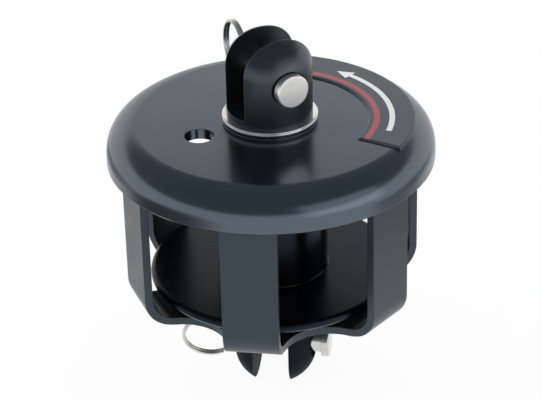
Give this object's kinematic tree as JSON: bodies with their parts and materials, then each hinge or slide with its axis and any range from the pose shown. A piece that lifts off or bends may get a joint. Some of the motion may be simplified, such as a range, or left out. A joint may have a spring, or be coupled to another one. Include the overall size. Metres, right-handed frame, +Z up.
{
  "type": "roller furler drum",
  "caption": "Headsail furling drum whose cap and spool turn on ball bearings inside an armed line guard, with a clevis jaw, pin and split ring above and below.",
  "frame": {"origin": "on the spin axis, at the axis of the lower clevis pin", "axes": "+Z up along the spin axis, towards the upper jaw; +X along the lower clevis pin, towards its head"},
  "size_m": [0.102, 0.102, 0.1219],
  "materials": {
    "anodised_black": "satin black hard anodising",
    "guard_black": "satin black moulding",
    "spool_black": "satin black moulding",
    "stainless": "polished stainless steel",
    "bearing_steel": "turned stainless steel",
    "acetal_white": "smooth white acetal",
    "retainer_black": "plain black moulding",
    "label": "printed film, plain grey with a dull red edge stripe"
  },
  "bodies": {
    "base": {"lower_fork": "anodised_black", "cage": "guard_black", "cage_screws": "bearing_steel", "bearing_sleeve": "bearing_steel", "upper_thrust_race": "bearing_steel", "tab_washer": "bearing_steel", "spindle_nut": "bearing_steel", "slack_washer": "acetal_white"},
    "drum": {"drum_cap": "anodised_black", "label_film": "label", "spool": "spool_black", "hub": "bearing_steel", "fork_washer": "stainless", "upper_fork": "anodised_black", "lower_thrust_race": "bearing_steel", "radial_race": "bearing_steel"},
    "thrust_set": {"thrust_balls": "acetal_white", "thrust_retainer": "retainer_black"},
    "radial_set": {"radial_balls": "acetal_white", "radial_retainer": "retainer_black"},
    "upper_pin": {"upper_clevis_pin": "stainless"},
    "upper_ring": {"upper_split_ring": "stainless"},
    "lower_pin": {"lower_clevis_pin": "stainless"},
    "lower_ring": {"lower_split_ring": "stainless"}
  },
  "joints": [
    {"name": "drum_spin", "type": "hinge", "parent": "base", "child": "drum", "pos_m": [0, 0, 0.05], "axis": [0, 0, 1], "continuous": true},
    {"name": "thrust_orbit", "type": "hinge", "parent": "base", "child": "thrust_set", "pos_m": [0, 0, 0.055], "axis": [0, 0, 1], "continuous": true},
    {"name": "radial_orbit", "type": "hinge", "parent": "base", "child": "radial_set", "pos_m": [0, 0, 0.03], "axis": [0, 0, 1], "continuous": true},
    {"name": "upper_pin_slide", "type": "slide", "parent": "drum", "child": "upper_pin", "axis": [0.6088, -0.7934, 0], "range_m": [-0.0014, 0.002]},
    {"name": "upper_ring_swing", "type": "hinge", "parent": "upper_pin", "child": "upper_ring", "pos_m": [-0.00971, 0.01265, 0.0955], "axis": [0, 0, 1], "range_deg": [-37.5, 52.5]},
    {"name": "lower_pin_slide", "type": "slide", "parent": "base", "child": "lower_pin", "axis": [1, 0, 0], "range_m": [-0.0039, 0]},
    {"name": "lower_ring_swing", "type": "hinge", "parent": "lower_pin", "child": "lower_ring", "pos_m": [-0.01345, 0, 0], "axis": [0, -0.2756, 0.9613], "range_deg": [-52, 38]}
  ],
  "couplings": [
    {"joint": "thrust_orbit", "follows": "drum_spin", "ratio": 0.5},
    {"joint": "radial_orbit", "follows": "drum_spin", "ratio": 0.578}
  ]
}
